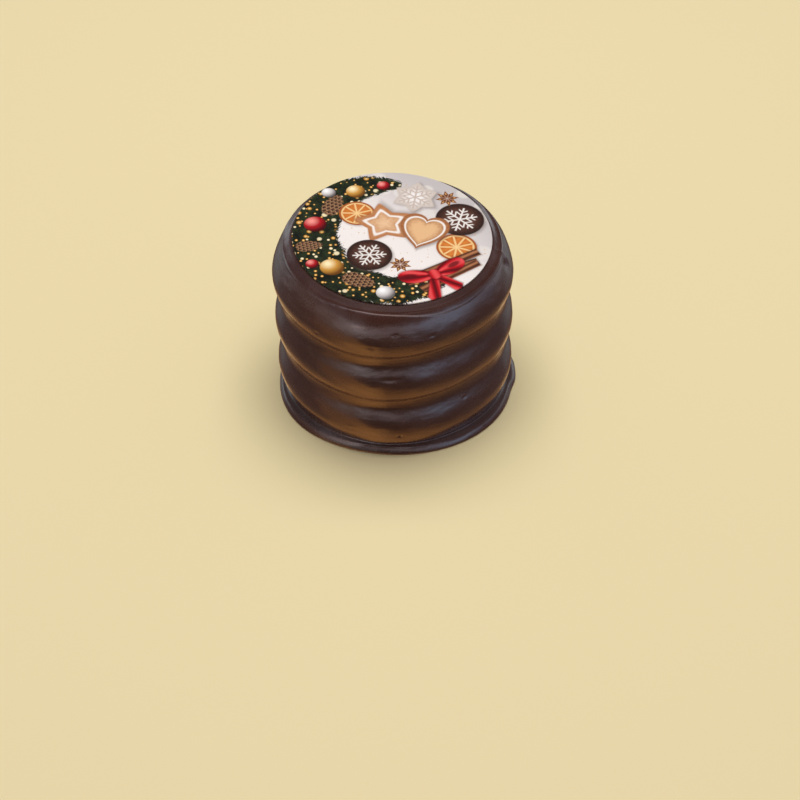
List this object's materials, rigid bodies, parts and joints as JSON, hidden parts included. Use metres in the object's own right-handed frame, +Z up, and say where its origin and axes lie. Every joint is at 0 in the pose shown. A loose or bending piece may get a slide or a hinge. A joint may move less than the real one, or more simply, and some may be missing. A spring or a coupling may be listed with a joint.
{
  "type": "baumkuchen",
  "caption": "Whole baumkuchen with bulging rings under a glossy dark chocolate coating, a pooled chocolate foot and a round printed sugar disc on its flat top.",
  "frame": {"origin": "middle of the footprint, on the surface that the cake stands on", "axes": "+Z up through the rings, -Y to the front of the printed disc"},
  "size_m": [0.1244, 0.12, 0.096],
  "materials": {
    "chocolate": "satin dark chocolate coating, slightly uneven",
    "printed_sugar": "matt sugar disc, printed in colour on its top"
  },
  "bodies": {
    "root": {"cake": "chocolate", "sugar_disc": "printed_sugar"}
  },
  "joints": []
}
